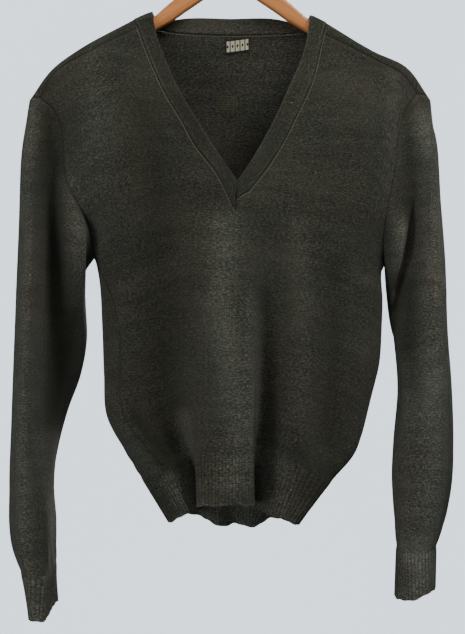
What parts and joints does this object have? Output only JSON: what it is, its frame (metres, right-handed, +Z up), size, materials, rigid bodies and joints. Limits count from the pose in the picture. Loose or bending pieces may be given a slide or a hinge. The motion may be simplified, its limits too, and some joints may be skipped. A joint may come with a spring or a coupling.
{
  "type": "wool v-neck sweater on a wooden hanger",
  "caption": "Fine-knit long-sleeved V-neck sweater with ribbed neckband, cuffs and hem, hanging open and rigid on a slim wooden hanger with a wire hook.",
  "frame": {"origin": "inner crest of the hanger's wire hook, where a rail carries it", "axes": "+Z up, the front of the sweater faces -Y, +X to the right as seen from the front"},
  "size_m": [0.5321, 0.1137, 0.862],
  "materials": {
    "knit": "fine plain-knit wool, dark olive-brown marl",
    "rib": "ribbed wool of the same marl",
    "label": "plain dark woven label",
    "wood": "clear satin lacquer on pale wood",
    "wire": "bright plated wire"
  },
  "bodies": {
    "root": {"front": "knit", "back": "knit", "sleeve_left": "knit", "sleeve_right": "knit", "neckband": "rib", "hem_front": "rib", "hem_back": "rib", "cuff_left": "rib", "cuff_right": "rib", "label": "label", "hanger_bar": "wood", "hanger_hook": "wire"}
  },
  "joints": []
}
